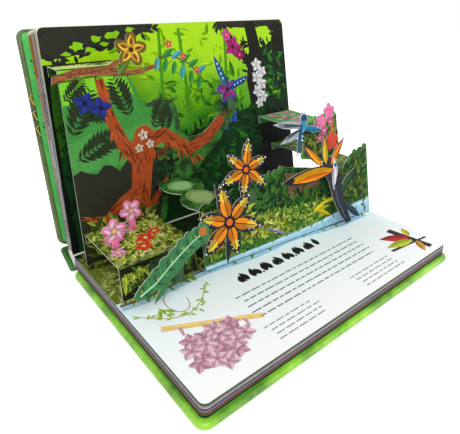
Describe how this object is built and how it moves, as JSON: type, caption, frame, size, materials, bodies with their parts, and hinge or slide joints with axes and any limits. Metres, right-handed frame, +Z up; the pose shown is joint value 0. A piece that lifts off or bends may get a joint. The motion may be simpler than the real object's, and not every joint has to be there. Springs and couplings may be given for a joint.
{
  "type": "pop up book",
  "caption": "Large hardback pop-up book, open past upright, with a folded card jungle stage and a padded case that turns at its hinges.",
  "frame": {"origin": "centre of the flat underside of the back cover, on the surface the book lies on", "axes": "+Z up, +X along the spine, +Y from the lying fore edge towards the spine and the standing half"},
  "size_m": [0.308, 0.3083, 0.2268],
  "materials": {
    "cover_cloth": "glossy laminated cover paper over padding",
    "spine_cloth": "glossy laminated cover paper",
    "endpaper": "printed paper",
    "page_card": "printed coated card",
    "tree_card": "printed coated card",
    "bark_card": "printed coated card",
    "foliage_card": "printed coated card",
    "ledge_card": "printed coated card",
    "orange_card": "printed coated card",
    "blue_card": "printed coated card",
    "frond_card": "printed coated card",
    "pink_card": "printed coated card",
    "red_card": "printed coated card",
    "plain_card": "unprinted white card"
  },
  "bodies": {
    "book": {"back_cover": "cover_cloth", "back_endpaper": "endpaper", "page_block": "page_card", "tree_stage": "tree_card", "bough": "bark_card", "left_bank": "foliage_card", "river_bank": "foliage_card", "flower_ledge": "ledge_card", "lily_high": "orange_card", "lily_high_strut": "plain_card", "lily_low": "orange_card", "lily_low_strut": "plain_card", "crane_flower": "orange_card", "crane_flower_strut": "plain_card", "fern_frond": "frond_card", "fern_frond_strut": "plain_card", "dragonfly": "blue_card", "dragonfly_strut": "plain_card", "pink_spray": "pink_card", "red_blossom": "red_card", "night_blossom": "blue_card", "night_blossom_strut": "plain_card", "gold_blossom": "orange_card", "pink_blossom_left": "pink_card", "pink_blossom_right": "pink_card"},
    "spine": {"spine_board": "spine_cloth"},
    "front_cover": {"front_cover": "cover_cloth", "front_endpaper": "endpaper"}
  },
  "joints": [
    {"name": "spine_hinge", "type": "hinge", "parent": "book", "child": "spine", "pos_m": [0, 0.10775, 0.0003], "axis": [1, 0, 0], "range_deg": [-24, 0]},
    {"name": "cover_hinge", "type": "hinge", "parent": "spine", "child": "front_cover", "pos_m": [0, 0.13881, 0.01413], "axis": [1, 0, 0], "range_deg": [-48.5, 4]}
  ]
}
